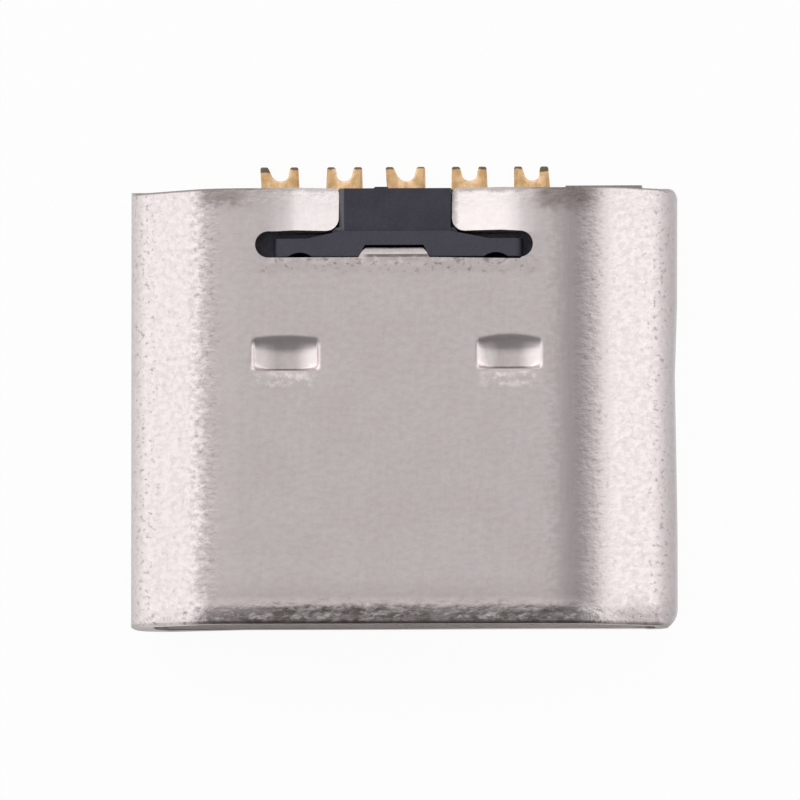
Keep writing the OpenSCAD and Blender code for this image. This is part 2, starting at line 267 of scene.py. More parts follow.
# %% Grid for the dimple
DIMPLE_X, DIMPLE_HALF = 1.53, 0.475
DIMPLE_NEAR, DIMPLE_FAR, DIMPLE_DEPTH = 0.485, 0.925, 0.13
WALL_LINES = (0.06, 0.025, 0, -0.02, -0.045)
across = [DIMPLE_X + side * (DIMPLE_HALF + step) for side in (-1, 1) for step in WALL_LINES]
across += [DIMPLE_X + DIMPLE_HALF * step / 8 for step in range(-7, 8)]
along = [0.36, 0.42, 0.455, 0.47, 0.48, 0.49, 0.5, 0.51, 0.52, 0.535, 0.55, 0.57, 0.6, 0.64, 0.68, 0.72]
along += [0.76, 0.79, 0.82, 0.845, 0.87, 0.89, 0.905, 0.92, 0.935, 0.95, 0.965, 0.98, 1.0, 1.03]
cut(shell, "Y", (along[0], along[-1]), lambda c: on_top(c) and c.y < BEND_Y + 1e-4)
band = lambda c: in_front(c) and along[0] - 1e-4 < c.y < along[-1] + 1e-4
cut(shell, "X", sorted(across), band)
cut(shell, "Y", along[1:-1], lambda c: band(c) and min(across) - 1e-4 < c.x < max(across) + 1e-4)
print("dimple grid:", len(across), "by", len(along))

# %% [markdown]
# ## The other half and the fold seam
# The mirror joins the halves at the middle of the narrow face. On the board face the two edges only meet.
# An apron shows behind the right side wall alone, so it is drawn out after the mirror.

# %% Mirror, and the apron on the right
GAP, APRON = 0.0015, 0.165
apply_modifier(shell, "MIRROR", use_axis=(True, False, False), use_mirror_merge=True, merge_threshold=1e-4)
edit_only(shell)
pick(shell, "EDGE", lambda c: on_board(c) and c.y > REAR + SIDE_OVERHANG - 1e-3 and 0 < c.x < 3.2501)
grow((0, APRON - SIDE_OVERHANG, 0))
print("apron reaches", APRON, "mm behind the narrow face")

# %% [markdown]
# ## One worn piece, not a drawing
# The real shell is not quite symmetric. Its rear edge is askew by a few hundredths of a millimetre, and the
# slot, the left tab and the front tab sit a little to the left. A dovetail on the left edge of the board
# face is then locked into a recess in the right edge, which keeps the fold shut.

# %% Rear edge a little askew
LEFT_SHARE, SKEW, RIGHT_OVERHANG = 0.57, 0.035, 0.035
pick(shell, "VERT", lambda c: c.x < -2 and c.y > REAR + 1e-3)
resize((1, LEFT_SHARE, 1), (0, REAR, 0))
pick(shell, "VERT", lambda c: c.x > 2 and REAR + 1e-3 < c.y < REAR + SIDE_OVERHANG + 1e-3 and c.z > 0.01)
resize((1, RIGHT_OVERHANG / SIDE_OVERHANG, 1), (0, REAR, 0))
skin = mesh_of(shell)
rows = sorted({(round(v.co.x, 4), round(v.co.z, 4)) for v in skin.verts
               if v.co.x > 2.3 and v.co.y > REAR - 1e-3 and v.co.z > 0.01})
for x, z in rows:
    pick(shell, "VERT", lambda c: c.y > REAR - 1e-3 and abs(c.x - x) < 1e-3 and abs(c.z - z) < 1e-3)
    move((0, SKEW * min(1, (x - 2.3) / 0.8, z / 0.5), 0))
print("rear rows moved on the right:", len(rows))

# %% Slot off centre
SLOT_SHIFT, LEFT_TAB_SHIFT, SLOT_SLANT, STOP_X = -0.05, -0.075, -0.02, -0.05
pick(shell, "VERT", lambda c: on_top(c) and c.y > SLOT_FRONT - 1e-3 and abs(abs(c.x) - 1.81) < 0.1)
move((SLOT_SHIFT, 0, 0))
pick(shell, "VERT", lambda c: on_top(c) and c.y > SLOT_FRONT + 0.2 and -0.96 < c.x < -0.7)
move((LEFT_TAB_SHIFT, 0, 0))
pick(shell, "VERT", lambda c: on_top(c) and near(c.y, SLOT_FRONT) and c.x > 1)
move((0, SLOT_SLANT, 0))
pick(shell, "VERT", lambda c: on_top(c) and 1.9 < c.y < 2.2 and abs(c.x) < 0.56)
move((STOP_X, 0, 0))
print("slot moved by", SLOT_SHIFT, "mm and its left tab by", LEFT_TAB_SHIFT, "mm")

# %% Dovetail lock
LOCK_Y, NECK, HEAD, LOCK = -0.775, 0.45, 0.7, 0.9
right_board = lambda c: on_board(c) and c.x > 0
cut(shell, "Y", (LOCK_Y - HEAD - GAP, LOCK_Y + HEAD + GAP), right_board)
lock_band = lambda c: right_board(c) and abs(c.y - LOCK_Y) < HEAD + GAP + 1e-4
cut(shell, "X", (LOCK + GAP,), lock_band)
punch(shell, lambda c: lock_band(c) and c.x < LOCK + GAP + 1e-4)
pick(shell, "VERT", lambda c: lock_band(c) and near(c.x, GAP))
resize((1, (NECK + GAP) / (HEAD + GAP), 1), (GAP, LOCK_Y, 0))
left_board = lambda c: on_board(c) and c.x < 0
cut(shell, "Y", (LOCK_Y - NECK, LOCK_Y + NECK), left_board)
pick(shell, "EDGE", lambda c: left_board(c) and near(c.x, -GAP) and abs(c.y - LOCK_Y) < NECK + 1e-4)
grow((LOCK, 0, 0))
resize((1, HEAD / NECK, 1), (LOCK, LOCK_Y, 0))
print("dovetail:", LOCK, "mm long,", 2 * HEAD, "mm at its head")

# %% [markdown]
# ## Giving the sheet its thickness
# So far the shell is a skin. Solidify adds 0.3 mm inwards. Normals come first: they have to point out, or
# the wall would grow to the wrong side. The inner skin and the cut edges get material numbers of their own,
# so that later steps can tell the skins apart.

# %% Solidify
pick(shell, "FACE", lambda c: True)
bpy.ops.mesh.remove_doubles(threshold=1e-5)
bpy.ops.mesh.normals_make_consistent(inside=False)
skin = mesh_of(shell)
upward = [face.normal.z for face in skin.faces if all(on_top(v.co) for v in face.verts)]
if sum(upward) < 0:
    bpy.ops.mesh.flip_normals()
OUTER, INNER, EDGE = 0, 1, 2
leave_edit_mode()
for name in ("worn_nickel", "inner_nickel", "sheared_nickel"):
    shell.data.materials.append(bpy.data.materials.new(name))
apply_modifier(shell, "SOLIDIFY", thickness=SHEET, offset=-1, use_even_offset=True, use_quality_normals=True,
               material_offset=INNER, material_offset_rim=EDGE)
print("solid shell:", len(shell.data.polygons), "faces")

# %% [markdown]
# ## Pressing the dimples and bending the tabs
# A press moves both sides of the sheet together. Each dimple is a scoop: its rear runs down in a curve, and
# its front and its ends are short walls with round corners. Every point of the grid is lowered by the depth
# of the scoop there. The tabs are turned down a few degrees at each of their bending lines.

# %% Shape of a latch dimple
# For each dimple: how much narrower it is than its grid, how far back its front lies, how far back its
# rear reaches in the middle, and how much less it reaches at the ends
LEFT_DIMPLE, RIGHT_DIMPLE = (1.03, 0, 0.046, 0.03), (1.08, 0.02, 0.06, 0.06)
END_REACH, END_WALL, CORNER_ROUND = 0.49, 0.065, 0.12
FRONT_WALL, FRONT_WALL_MORE = 0.034, 0.045


def ease(value, start, end):
    """Goes smoothly from 0 at the start to 1 at the end."""
    share = min(max((value - start) / (end - start), 0), 1)
    return share * share * (3 - 2 * share)


def inside(off, y):
    """1 on the floor of the dimple, falling to 0 across its front wall, its end wall and their corner."""
    to_end, to_front = END_REACH - off, y - (DIMPLE_NEAR - 0.012)
    front_wall = FRONT_WALL + FRONT_WALL_MORE * min((off / DIMPLE_HALF) ** 4, 1)
    a, b = CORNER_ROUND - to_end, CORNER_ROUND - to_front
    if a > 0 and b > 0:
        far = math.hypot(a, b)
        return ease(CORNER_ROUND - far, 0, (END_WALL * a * a + front_wall * b * b) / far ** 2)
    return ease(to_end, 0, END_WALL) * ease(to_front, 0, front_wall)


def dimple_drop(x, y):
    """Depth of the scoop at a point of the sheet, with the slight dip of the sheet in front of it."""
    narrow, shift, rear, arch = RIGHT_DIMPLE if x > 0 else LEFT_DIMPLE
    off = abs(abs(x) - DIMPLE_X) * narrow
    front = y - shift
    ends = min((off / DIMPLE_HALF) ** 2, 1)
    gone = max(0, DIMPLE_FAR + rear - arch * ends - y)
    gone = gone * gone / 0.12 if gone < 0.06 else gone - 0.03
    share = min(gone / (0.245 - 0.1 * ends), 1)
    drop = (DIMPLE_DEPTH - 0.085 * ends) * (1 - (1 - share) ** 2) * inside(off, front)
    lip = 0.01 * ease(front, 0.35, DIMPLE_NEAR) * ease(off, 0.5, 0.2) if front < DIMPLE_NEAR else 0
    return max(drop, lip)


# %% Press the latch dimples
edit_only(shell)
sheet = mesh_of(shell)
on_grid = lambda c: abs(abs(c.x) - DIMPLE_X) < 0.54 and along[0] - 0.01 < c.y < along[-1] + 0.01
places = sorted({(round(v.co.x, 4), round(v.co.y, 4)) for v in sheet.verts
                 if v.co.z > TOP - SHEET - 0.01 and on_grid(v.co)})
pressed = 0
for x, y in places:
    drop = dimple_drop(x, y)
    if drop > 1e-4:
        pick(shell, "VERT", lambda c: c.z > 1.5 and abs(c.x - x) < 2e-3 and abs(c.y - y) < 2e-3)
        move((0, 0, -drop))
        pressed += 1
print("dimple points pressed:", pressed)

# %% Bend the retention tabs and the front tab
def turn(degrees, axis, centre):
    bpy.ops.transform.rotate(value=math.radians(degrees), orient_axis=axis, center_override=centre)


TAB_TURN, TAB_PITCH, STOP_TURN = 2, 2, 9
PITCH_LINES = (1.62, 1.54, 1.46)
for side in (-1, 1):
    for line in TAB_LINES:
        pick(shell, "VERT", lambda c: c.z > 1.5 and c.y > SLOT_REAR - 1e-3 and 0.6 < side * c.x < line + 1e-4)
        turn(TAB_TURN * side, "Y", (side * line, 0, TOP - SHEET / 2))
    for line in PITCH_LINES:
        pick(shell, "VERT", lambda c: c.z > 1.5 and c.y > SLOT_REAR - 1e-3 and 0.6 < side * c.x < line)
        turn(TAB_PITCH, "X", (0, SLOT_REAR, TOP - SHEET / 2))
for line in STOP_LINES:
    on_stop = lambda c: abs(c.x - STOP_X) < STOP_HALF + 1e-4 and line + 1e-4 < c.y < 2.3
    pick(shell, "VERT", lambda c: c.z > 1.5 and on_stop(c))
    turn(STOP_TURN, "X", (0, line, TOP - SHEET / 2))
sheet = mesh_of(shell)
tab_low = min(v.co.z for v in sheet.verts if v.co.y > 2.5 and 0.7 < abs(v.co.x) < 0.9 and v.co.z > 1.5)
stop_low = min(v.co.z for v in sheet.verts if abs(v.co.x) < 0.4 and 2.1 < v.co.y < 2.3 and v.co.z > 1.5)
print("lowest point of the tabs:", round(tab_low, 3), "and of the front tab:", round(stop_low, 3))

# %% [markdown]
# ## Rolled edges, and the wear of the real shell
# A punch drags the surface down a little before it cuts, so the outside edges of stamped sheet are round.
# The front rim is the roundest. The right side wall of the real shell is also pushed in slightly along its
# middle, and its corners are rubbed round. The narrow face is lowered ring by ring towards the rim, and the
# points of the wall are drawn in along their normals.

# %% Helpers for drawing points in
def pick_skin(piece, skin, test):
    """Selects the vertices of one skin of the sheet that pass the test."""
    bpy.ops.mesh.select_mode(type="VERT")
    bpy.ops.mesh.select_all(action="DESELECT")
    mesh = mesh_of(piece)
    chosen = {vert for face in mesh.faces if face.material_index == skin
              for vert in face.verts if test(vert.co)}
    for vert in chosen:
        vert.select_set(True)
    mesh.select_flush_mode()
    bmesh.update_edit_mesh(piece.data)
    return len(chosen)


def wall_lean(z):
    """Angle at which the skin of the right wall faces out: down on its lower bend, up on its upper bend."""
    return math.asin(max(min(z - 0.5, 0) / 0.5, -1) + min(max(z - 0.95355, 0) / 0.75, 1))


def push_in(depth, z):
    """Moves the selected points of the right wall inwards."""
    move((-depth * math.cos(wall_lean(z)), 0, -depth * math.sin(wall_lean(z))))


# %% Roll the front rim
# For each ring: its distance from the rim, how far the narrow face drops, how far the right corner goes in
ROLL = ((0, 0.108, 0.14), (0.05, 0.075, 0.085), (0.1, 0.049, 0.045),
        (0.16, 0.0256, 0.016), (0.22, 0.0099, 0.004), (0.27, 0.0025, 0))
# How far the lower left corner of the rim stands forward
SLANT = 0.022

cut(shell, "Y", [FRONT + ring for ring, depth, corner in ROLL[1:]])
for ring, depth, corner in ROLL:
    on_ring = lambda c: c.x > 3.28 and abs(c.y - FRONT - ring) < 1e-3
    skin = mesh_of(shell)
    heights = sorted({round(v.co.z, 4) for v in skin.verts if on_ring(v.co)})
    for z in [z for z in heights if corner and z < 1.48]:
        pick_skin(shell, OUTER, lambda c: on_ring(c) and abs(c.z - z) < 1e-3)
        level = math.cos(wall_lean(z))
        push_in(corner * (ease(level, 0.3, 0.95) if z < 0.5 else ease(level, 0.7, 1)), z)
    pick_skin(shell, OUTER, lambda c: abs(c.y - FRONT - ring) < 0.02 and c.z > 0.99)
    resize((1, 1, 1 - depth / 1.45), (0, 0, 1))
left_front = lambda c: c.x < -3 and c.y < FRONT + 1e-3
skin = mesh_of(shell)
for z in sorted({round(v.co.z, 4) for v in skin.verts if left_front(v.co) and v.co.z < 0.6}):
    pick(shell, "VERT", lambda c: left_front(c) and abs(c.z - z) < 1e-3)
    move((0, -SLANT * ease(z, 0.6, 0.1), 0))
print("front rim rolled in", len(ROLL), "rings")

# %% Round the rear corner of the right wall
CORNER = 0.12
right_wall = lambda c: c.x > 2.9 and 0.2 < c.z < 1.9
cut(shell, "Y", [REAR + RIGHT_OVERHANG + SKEW - step for step in (0.02, 0.05, 0.085, 0.12)], right_wall)


def rear_edge(z):
    """Place of the rear edge of the right wall and of the bend above it."""
    overhang = RIGHT_OVERHANG * min(1, (SIDE_BEND_TOP - z) / (SIDE_BEND_TOP - SIDE_BEND_FOOT))
    return REAR + SKEW * min(1, z / 0.5) + overhang


wall = mesh_of(shell)
places = sorted({(round(v.co.y, 4), round(v.co.z, 4)) for v in wall.verts
                 if v.co.x > 3.35 and 0.25 < v.co.z < 1.48 and v.co.y > rear_edge(v.co.z) - CORNER})
for y, z in places:
    pick_skin(shell, OUTER, lambda c: c.x > 3.45 and abs(c.y - y) < 1e-3 and abs(c.z - z) < 1e-3)
    inner = CORNER - max(0, rear_edge(z) - y)
    push_in(0.8 * (CORNER - math.sqrt(CORNER ** 2 - inner ** 2)), max(z, 0.5))
print("points of the rear corner rounded:", len(places))

# %% Push the right wall in
DENT_DEPTH, DENT_Y = 0.037, 0.48
dent_rows = (-1.75, -1.4, -1.05, -0.7, -0.35, 0, 0.25, 0.48, 0.7, 0.95, 1.2, 1.5)
cut(shell, "Y", dent_rows, right_wall)
for row in dent_rows:
    reach = 2.3 if row < DENT_Y else 1.25
    depth = DENT_DEPTH * max(0, 1 - abs(row - DENT_Y) / reach) ** 1.2
    for low, high, share in ((0.2, 0.35, 0.4), (0.35, 1.25, 1), (1.25, 1.55, 0.6)):
        pick(shell, "VERT", lambda c: c.x > 3 and abs(c.y - row) < 1e-3 and low < c.z <= high)
        move((-depth * share, 0, 0))
wall = mesh_of(shell)
print("right wall at its dent: x =", round(max(v.co.x for v in wall.verts if abs(v.co.y - DENT_Y) < 1e-3), 3))

# %% Bevel the cut edges
def pick_between(piece, first, second):
    """Selects the edges where faces of two material numbers meet."""
    bpy.ops.mesh.select_mode(type="EDGE")
    bpy.ops.mesh.select_all(action="DESELECT")
    mesh = mesh_of(piece)
    count = 0
    for edge in mesh.edges:
        if {face.material_index for face in edge.link_faces} == {first, second}:
            edge.select_set(True)
            count += 1
    mesh.select_flush_mode()
    bmesh.update_edit_mesh(piece.data)
    return count


def round_edges(radius, segments):
    bpy.ops.mesh.bevel(offset=radius, segments=segments, profile=0.5, affect="EDGES", clamp_overlap=True,
                       loop_slide=False)


OUTER_ROUND, INNER_ROUND = 0.028, 0.012
outer_edges = pick_between(shell, OUTER, EDGE)
round_edges(OUTER_ROUND, 3)
inner_edges = pick_between(shell, INNER, EDGE)
round_edges(INNER_ROUND, 2)
print("edges rounded:", outer_edges, "outside and", inner_edges, "inside")


# %% Shade and shrink to real size
SMOOTH_BELOW, MM = math.radians(35), 0.001


def finish_piece(piece):
    """Smooth shading that keeps flats flat, then the real size, with the place in the mesh."""
    select_only(piece)
    bpy.ops.object.shade_smooth_by_angle(angle=SMOOTH_BELOW)
    apply_modifier(piece, "WEIGHTED_NORMAL", keep_sharp=True, weight=60)
    piece.scale = (MM, MM, MM)
    bpy.ops.object.transform_apply(location=True, rotation=True, scale=True)
    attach(piece, "root")
    triangles = sum(len(face.vertices) - 2 for face in piece.data.polygons)
    print(piece.name, "has", triangles, "triangles")


finish_piece(shell)
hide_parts("shell")

# %% [markdown]
# ## A contact strip
# Each contact is one strip of copper alloy, gold plated: a blade on the tongue, an upright behind the block
# and a forked solder tail. The strip is folded like the shell, by spinning its end edge round each bend. The
# same function, a hundredth of a millimetre larger, also makes the tool that cuts the strip's channel in the
# moulding, because in the factory the plastic is moulded round the strips.

# %% Fold a strip
STRIP, TONGUE_TOP, UPRIGHT_Y, TAIL_END = 0.15, 1.25, 2.755, 3.418
BLADE_HALF, TAIL_HALF, BLADE_PITCH, TAIL_PITCH = 0.2, 0.26, 0.65, 0.87
BLADE_TIP, BLADE_END, WIDENING, RUN_OUT = -1.625, 1.325, 1.08, 0.1
UPPER_BEND, LOWER_BEND = 0.25, 0.1


def fold_strip(name, spare=0.0, tail_end=TAIL_END):
    """A strip in the middle of the socket, as a skin along its upper and rear side."""
    half = BLADE_HALF + spare
    strip = new_plane(name, (-half, half), (BLADE_TIP - spare, BLADE_END), TONGUE_TOP + spare)
    pick(strip, "EDGE", lambda c: near(c.y, BLADE_END))
    grow((0, WIDENING, 0))
    resize(((TAIL_HALF + spare) / half, 1, 1), (0, 0, 0))
    grow((0, RUN_OUT, 0))
    upper_z, lower_z = TONGUE_TOP - UPPER_BEND, STRIP + LOWER_BEND
    sweep((0, UPRIGHT_Y - UPPER_BEND, upper_z), (1, 0, 0), -90, 7)
    grow((0, 0, lower_z - upper_z))
    sweep((0, UPRIGHT_Y + LOWER_BEND, lower_z), (1, 0, 0), 90, 6)
    grow((0, tail_end - UPRIGHT_Y - LOWER_BEND, 0))
    return strip


def thicken_strip(strip, spare=0.0):
    pick(strip, "FACE", lambda c: True)
    bpy.ops.mesh.normals_make_consistent(inside=False)
    skin = mesh_of(strip)
    if max(skin.faces, key=lambda face: face.calc_area()).normal.z < 0:
        bpy.ops.mesh.flip_normals()
    apply_modifier(strip, "SOLIDIFY", thickness=STRIP + 2 * spare, offset=-1, use_even_offset=True)


def step_aside(strip, place):
    """Moves the blade and the tail to their own pitches: the strip steps sideways inside the block."""
    edit_only(strip)
    pick(strip, "VERT", lambda c: c.y < BLADE_END + 0.005)
    move((place * BLADE_PITCH, 0, 0))
    pick(strip, "VERT", lambda c: c.y > BLADE_END + 0.005)
    move((place * TAIL_PITCH, 0, 0))
    leave_edit_mode()


# %% Fork the tail and round its edges
first_strip = fold_strip("contact_strip")
FORK_Y, FORK_HALF, FORK_ROUND = 3.222, 0.1175, 0.112
PRONG_SPREAD, PRONG_TAPER = 1.2, 0.955
STRIP_ROUND = 0.025
on_tail = lambda c: near(c.z, STRIP) and c.y > UPRIGHT_Y + LOWER_BEND - 0.01
cut(first_strip, "X", (-FORK_HALF, FORK_HALF), on_tail)
cut(first_strip, "Y", (FORK_Y,), on_tail)
punch(first_strip, lambda c: on_tail(c) and abs(c.x) < FORK_HALF + 5e-4 and c.y > FORK_Y - 1e-4)
pick(first_strip, "FACE", on_tail)
bpy.ops.mesh.dissolve_limited(angle_limit=0.01)
round_corners(first_strip, lambda c: near(abs(c.x), FORK_HALF) and near(c.y, FORK_Y), FORK_ROUND, 7)
pick(first_strip, "VERT", lambda c: near(abs(c.x), FORK_HALF) and near(c.y, TAIL_END))
resize((PRONG_SPREAD, 1, 1), (0, 0, 0))
pick(first_strip, "VERT", lambda c: near(abs(c.x), TAIL_HALF) and near(c.y, TAIL_END))
resize((PRONG_TAPER, 1, 1), (0, 0, 0))
thicken_strip(first_strip)
apply_modifier(first_strip, "BEVEL", width=STRIP_ROUND, segments=3, limit_method="ANGLE",
               angle_limit=math.radians(50))
print("strip:", len(first_strip.data.polygons), "faces")

# %% Copy it to the five places
strips = []
for number in range(1, 6):
    strip = first_strip if number == 5 else first_strip.copy()
    if number < 5:
        strip.data = first_strip.data.copy()
        bpy.context.scene.collection.objects.link(strip)
    strip.name = f"contact_strip_{number}"
    strips.append(strip)

# %% Lean the prongs and set the pitches
# Sideways lean of the left and the right prong of each tail, in steps along the prong
LEAN = ((-0.04, -0.012), (0.015, 0), (-0.045, 0), (0, -0.02), (-0.01, -0.036))
LEAN_ROWS = (3.22, 3.27, 3.32, 3.37)
for number, strip in enumerate(strips, 1):
    edit_only(strip)
    for side, lean in zip((-1, 1), LEAN[number - 1]):
        for row in LEAN_ROWS:
            pick(strip, "VERT", lambda c: c.y > row and side * c.x > 0)
            move((lean / len(LEAN_ROWS), 0, 0))
    step_aside(strip, number - 3)
print("strips:", [strip.name for strip in strips])

# %% [markdown]
# ## The moulding
# The insulator is one black moulding: a block that fills the rear of the shell, a tongue that carries the
# blades, a rib and a key that stand up in the T-shaped opening, and a foot in the tail notch. Its block has
# the section of the shell, set in by the sheet and a small fit. The forms are joined, and the pockets cut
# out of them, with exact booleans, which is how such a tool is designed too.

# %% Block
def join(piece, tool, operation="UNION"):
    """Adds a tool's form to a piece, or cuts it out, and clears the tool away."""
    edit_only(tool)
    pick_all()
    bpy.ops.mesh.normals_make_consistent(inside=False)
    apply_modifier(piece, "BOOLEAN", object=tool, operation=operation, solver="EXACT")
    print(operation.lower(), tool.name, "->", len(piece.data.polygons), "faces")
    bpy.data.objects.remove(tool)


SET_IN = SHEET + 0.02
BLOCK_FRONT = 1.225
leave_edit_mode()
bpy.ops.mesh.primitive_plane_add(size=0.1, location=(0, BLOCK_FRONT, TOP - SET_IN))
moulding = bpy.context.object
moulding.name = "moulded_insulator"
bpy.ops.object.transform_apply(location=True, rotation=False, scale=False)
edit_only(moulding)
pick_all()
bpy.ops.mesh.merge(type="CENTER")
grow((FLAT_HALF, 0, 0))
for (centre, degrees, steps), run in zip(BENDS, RUNS[:2] + ((-3.25, 0, 0),)):
    sweep((centre[0], BLOCK_FRONT, centre[2]), (0, 1, 0), degrees, steps)
    grow(run)
apply_modifier(moulding, "MIRROR", use_axis=(True, False, False), use_mirror_merge=True, merge_threshold=1e-4)
edit_only(moulding)
pick_all()
bpy.ops.mesh.remove_doubles(threshold=1e-4)
bpy.ops.mesh.edge_face_add()
pick(moulding, "VERT", lambda c: near(c.x, 0))
bpy.ops.mesh.dissolve_verts()
pick_all()
grow((0, REAR + 0.1 - BLOCK_FRONT, 0))
pick_all()
bpy.ops.mesh.normals_make_consistent(inside=False)
leave_edit_mode()
print("block:", len(moulding.data.polygons), "faces")

# %% Tongue
TONGUE_HALF, TONGUE_TIP, TONGUE_FOOT = 1.8, -1.925, 0.65
TONGUE_ROUND, TONGUE_CHAMFER = 0.3, 0.13
tongue = new_block("tongue", (-TONGUE_HALF, TONGUE_HALF), (TONGUE_TIP, 1.6), (TONGUE_FOOT, TONGUE_TOP))
edit_only(tongue)
for corner in (-TONGUE_HALF, TONGUE_HALF):
    pick(tongue, "EDGE", lambda c: near(c.x, corner) and near(c.y, TONGUE_TIP))
    bevel(TONGUE_ROUND, 8)
for level in (TONGUE_FOOT, TONGUE_TOP):
    pick(tongue, "EDGE", lambda c: near(c.z, level) and c.y < TONGUE_TIP + TONGUE_ROUND + 1e-3)
    bevel(TONGUE_CHAMFER, 1)
join(moulding, tongue)

# %% Rib, key and foot
RIB_HALF, RIB_TOP, RIB_END_ROUND, RIB_EDGE_ROUND = 1.7, 2.4, 0.09, 0.02
KEY_TOP, KEY_CHAMFER = 2.36, 0.06
RIB_FRONT, RIB_REAR = SLOT_FRONT + 0.01, SLOT_REAR - 0.1
rib = new_block("rib", (-RIB_HALF, RIB_HALF), (RIB_FRONT, RIB_REAR), (1.3, RIB_TOP))
edit_only(rib)
for end in (-RIB_HALF, RIB_HALF):
    pick(rib, "EDGE", lambda c: near(c.z, RIB_TOP) and near(c.x, end))
    bevel(RIB_END_ROUND, 3)
pick(rib, "EDGE", lambda c: near(c.z, RIB_TOP) and near(c.y, RIB_FRONT))
bevel(RIB_EDGE_ROUND, 2)
cut(rib, "X", (-1.25, -0.77, 0.7, 1.25))
pick(rib, "VERT", lambda c: -0.78 < c.x < 0.71 and near(c.y, RIB_REAR))
move((0, 0.105, 0))
join(moulding, rib)
key = new_block("key", (-0.81, 0.722), (2.29, REAR + 0.3), (1.3, KEY_TOP))
edit_only(key)
pick(key, "EDGE", lambda c: c.x < 0 and near(c.z, KEY_TOP))
bevel(KEY_CHAMFER, 1)
join(moulding, key)
root = new_block("key_root", (-0.9, 0.81), (2.3, 2.44), (1.3, 2.335))
join(moulding, root)
foot = new_block("foot", (-2.17, 2.17), (2.105, REAR + 0.2), (0.05, 0.6))
join(moulding, foot)
edit_only(moulding)
pick_all()
bpy.ops.mesh.bisect(plane_co=(0, REAR, 0), plane_no=(0, 1, 0), clear_outer=True, use_fill=True,
                    threshold=1e-5)
leave_edit_mode()
print("moulding:", len(moulding.data.polygons), "faces")

# %% Pockets for the tabs, and core holes
POCKET_FRONT, POCKET_START = SLOT_REAR - 0.03, {-1: 0.815, 1: 0.73}
CORE_R, CORE_X, CORE_Y = 0.27, 1.34, 1.825
for side in (-1, 1):
    start = POCKET_START[side]
    pocket = new_block("tab_pocket", (start, 1.8), (POCKET_FRONT, 3.2), (2.13, 2.7))
    edit_only(pocket)
    pick(pocket, "VERT", lambda c: near(c.x, start) and c.z < 2.2)
    move((0, 0, -0.17))
    pick(pocket, "EDGE", lambda c: near(c.x, start) and near(c.y, POCKET_FRONT))
    bevel(0.2, 7)
    if side < 0:
        pick_all()
        bpy.ops.transform.mirror(constraint_axis=(True, False, False), center_override=(0, 0, 0))
    join(moulding, pocket, "DIFFERENCE")
    leave_edit_mode()
    core_place = (side * CORE_X, CORE_Y, TOP - SHEET)
    bpy.ops.mesh.primitive_cylinder_add(vertices=32, radius=CORE_R, depth=1, location=core_place)
    core = bpy.context.object
    bpy.ops.object.transform_apply(location=True, rotation=False, scale=False)
    join(moulding, core, "DIFFERENCE")
stop_pocket = new_block("stop_pocket", (STOP_X - 0.55, STOP_X + 0.55), (1.9, 2.197), (1.9, 2.7))
edit_only(stop_pocket)
pick(stop_pocket, "VERT", lambda c: c.y > 2)
resize((0.73, 1, 1), (STOP_X, 2, 2))
join(moulding, stop_pocket, "DIFFERENCE")

# %% Channels for the strips
SPARE, GROOVE_HALF = 0.008, 0.295
for place in range(-2, 3):
    channel = fold_strip("channel", SPARE, 3.6)
    thicken_strip(channel, SPARE)
    step_aside(channel, place)
    join(moulding, channel, "DIFFERENCE")
    groove_x = place * TAIL_PITCH
    groove = new_block("groove", (groove_x - GROOVE_HALF, groove_x + GROOVE_HALF), (2.57, 3.7), (-0.5, 1.285))
    join(moulding, groove, "DIFFERENCE")
print("moulding with its pockets:", len(moulding.data.polygons), "faces")

# %% Soften the moulding's edges
SOFT_EDGE = 0.016
edit_only(moulding)
pick_all()
bpy.ops.mesh.remove_doubles(threshold=1e-4)
bpy.ops.mesh.dissolve_limited(angle_limit=math.radians(0.5))
leave_edit_mode()
apply_modifier(moulding, "BEVEL", width=SOFT_EDGE, segments=2, limit_method="ANGLE",
               angle_limit=math.radians(40))
print("moulding with soft edges:", len(moulding.data.polygons), "faces")

# %% Thread of flash at the rear of the key
flash = new_block("flash", (-0.4, -0.06), (2.9, REAR + 0.02), (2.2, 2.352))
edit_only(flash)
pick(flash, "VERT", lambda c: c.y > REAR)
resize((0.5, 1, 0.6), (-0.23, REAR, 2.352))
join(moulding, flash)

# %% Finish the moulding and the strips
finish_piece(moulding)
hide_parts("insulator")
for number, strip in enumerate(strips, 1):
    finish_piece(strip)
    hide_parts(f"contact_{number}")

# %% [markdown]
# ## Nickel plate
# The plating is a satin grey with a trace of pink. It is smooth on the flat face and grainy where the sheet
# was drawn over a bend, with pits and specks of dirt near the edges. All of this is mixed from noise on
# Object coordinates, scaled back to millimetres, so that the pattern stays on the metal wherever the part
# is used. Small helpers come first, because every mark is built from the same few kinds of node. They add
# their nodes to `tree`, the node tree that is being filled.

# %% Helpers for node materials
def new_node(kind):
    return tree.nodes.new("ShaderNode" + kind)


def link(start, end):
    tree.links.new(start, end)


def fresh_nodes(material):
    """Empties the node tree of a material, which the helpers then fill."""
    global tree
    material.use_nodes = True
    tree = material.node_tree
    tree.nodes.clear()
    output = new_node("OutputMaterial")
    surface = new_node("BsdfPrincipled")
    link(surface.outputs["BSDF"], output.inputs["Surface"])
    where = new_node("TexCoord")
    scale = new_node("Mapping")
    scale.inputs["Scale"].default_value = (1000, 1000, 1000)
    link(where.outputs["Object"], scale.inputs["Vector"])
    return surface, scale.outputs["Vector"]


def put(value, socket):
    """Sets a socket to a constant, or links it to another socket."""
    if isinstance(value, bpy.types.NodeSocket):
        link(value, socket)
    else:
        socket.default_value = value


